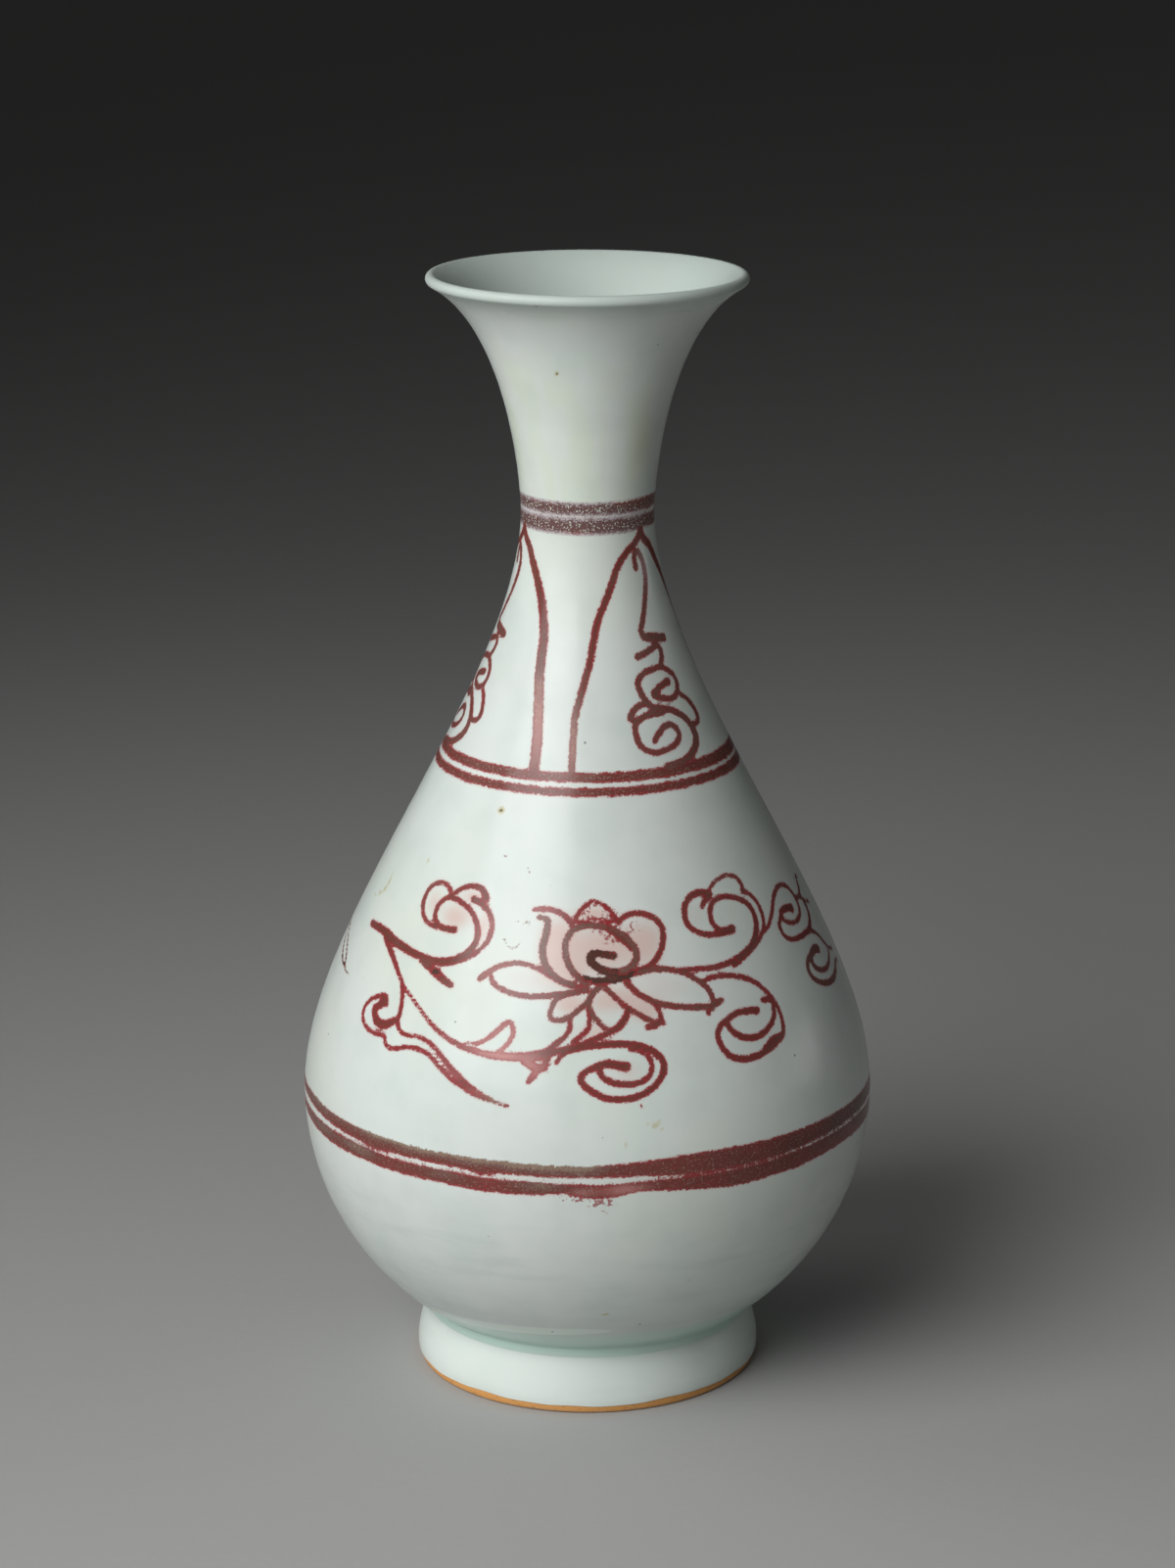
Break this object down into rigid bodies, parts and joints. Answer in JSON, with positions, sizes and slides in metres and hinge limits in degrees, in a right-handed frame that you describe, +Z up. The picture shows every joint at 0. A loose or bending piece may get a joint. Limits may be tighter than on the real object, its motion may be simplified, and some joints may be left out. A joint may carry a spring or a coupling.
{
  "type": "bottle vase",
  "caption": "Pear-shaped glazed ceramic bottle vase with a slender neck, flared mouth, full low belly and recessed foot ring; stands free and holds water and stems.",
  "frame": {"origin": "centre of the foot, on the surface that the vase stands on", "axes": "+Z up the axis of the vase, -Y towards the side that the picture shows"},
  "size_m": [0.139, 0.139, 0.27],
  "materials": {
    "fired_clay": "bare fired porcelain clay, burnt orange-brown where it shows at the foot rim",
    "luting_slip": "dry fired slip",
    "glaze": "glossy bluish-white glaze over copper-red painting"
  },
  "bodies": {
    "root": {"foot_ring": "fired_clay", "foot_luting": "luting_slip", "lower_body": "fired_clay", "belly_luting": "luting_slip", "upper_body": "fired_clay", "neck_luting": "luting_slip", "neck_and_mouth": "fired_clay", "glaze_coat": "glaze", "base_glaze": "glaze"}
  },
  "joints": []
}
